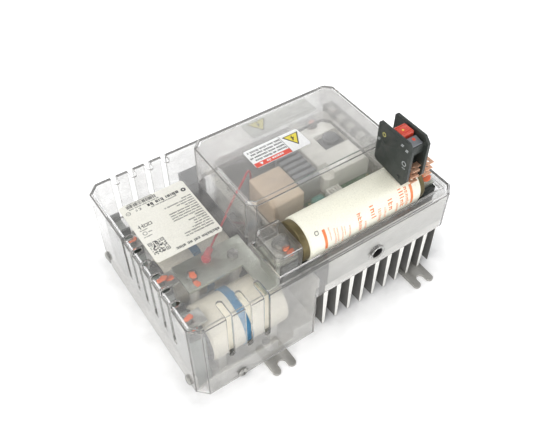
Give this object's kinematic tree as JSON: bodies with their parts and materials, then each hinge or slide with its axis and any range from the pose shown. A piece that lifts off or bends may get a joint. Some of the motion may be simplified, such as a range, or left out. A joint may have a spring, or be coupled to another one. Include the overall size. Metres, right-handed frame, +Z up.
{
  "type": "drive power unit",
  "caption": "Power unit of a variable speed drive: clear lift-off cover over a finned heat sink, bus fuse with trip switch, capacitors, power module and bus bars, on forked mounting rails.",
  "frame": {"origin": "middle of the footprint on the mounting plane", "axes": "+X to the right along the front, +Y to the back, +Z up from the mounting plane"},
  "size_m": [0.3058, 0.246, 0.189],
  "materials": {
    "clear_cover": "clear, glossy",
    "label_white": "printed, satin",
    "label_rear": "printed, satin",
    "plated_screw": "zinc plated",
    "heat_sink": "extruded, satin",
    "tray": "galvanised sheet",
    "rail": "galvanised sheet",
    "fuse_tube": "cream, satin",
    "ferrule": "tarnished",
    "tinned": "tinned copper",
    "shield": "clear, glossy",
    "black_plastic": "moulded, satin",
    "bus_bar": "tinned copper, dull",
    "red_button": "moulded",
    "smoky_window": "smoky, glossy",
    "liner": "sheet",
    "copper_tab": "bare copper alloy",
    "capacitor_skin": "cream sleeve",
    "capacitor_ring": "moulded",
    "blue_band": "woven strap",
    "white_plastic": "moulded",
    "terminal_block": "moulded",
    "red_lead": "insulated wire",
    "red_sleeve": "moulded sleeve",
    "beige_case": "moulded",
    "grey_metal": "satin",
    "module_case": "moulded",
    "grey_plastic": "moulded",
    "circuit_board": "coated laminate",
    "brass_spacer": "nickel plated",
    "teal_part": "moulded"
  },
  "bodies": {
    "base": {"cover_screws": "plated_screw", "heat_sink": "heat_sink", "front_liner": "liner", "tray": "tray", "rail_left": "rail", "rail_right": "rail", "rail_screws": "plated_screw", "joint_screws": "plated_screw", "fuse_tube": "fuse_tube", "fuse_ferrules": "ferrule", "fuse_blades": "tinned", "fuse_bolts": "plated_screw", "fuse_washers": "plated_screw", "left_insulator": "black_plastic", "right_insulator": "black_plastic", "left_bus_bar": "bus_bar", "right_bus_bar": "bus_bar", "switch_cheeks": "black_plastic", "switch_body": "black_plastic", "switch_window": "smoky_window", "switch_tabs": "copper_tab", "front_capacitor": "capacitor_skin", "second_capacitor": "capacitor_skin", "capacitor_rings": "capacitor_ring", "capacitor_bands": "blue_band", "cradles": "white_plastic", "bus_posts": "white_plastic", "bus_bolts": "plated_screw", "terminal_block": "terminal_block", "terminal_barriers": "black_plastic", "terminal_bars": "tinned", "terminal_bolts": "plated_screw", "divider": "black_plastic", "red_lead": "red_lead", "red_sleeve": "red_sleeve", "box_capacitor": "beige_case", "resistor_block": "grey_metal", "power_module": "module_case", "module_knob": "grey_plastic", "module_bolt": "plated_screw", "notched_bar": "grey_plastic", "bar_teeth": "white_plastic", "bar_bolt": "plated_screw", "circuit_board": "circuit_board", "board_spacers": "brass_spacer", "board_connector": "beige_case", "board_component": "teal_part"},
    "cover": {"clear_cover": "clear_cover", "rating_label": "label_white", "warning_label": "label_white", "rear_label": "label_rear"},
    "shield": {"terminal_shield": "shield"},
    "button": {"switch_button": "red_button"}
  },
  "joints": [
    {"name": "cover_lift", "type": "slide", "parent": "base", "child": "cover", "axis": [0, 0, 1], "range_m": [0, 0.2]},
    {"name": "shield_lift", "type": "slide", "parent": "base", "child": "shield", "axis": [0, 0, 1], "range_m": [0, 0.09]},
    {"name": "button_press", "type": "slide", "parent": "base", "child": "button", "axis": [0, 0, -1], "range_m": [0, 0.002], "stiffness_N_per_m": 400, "springref_m": -0.001}
  ]
}
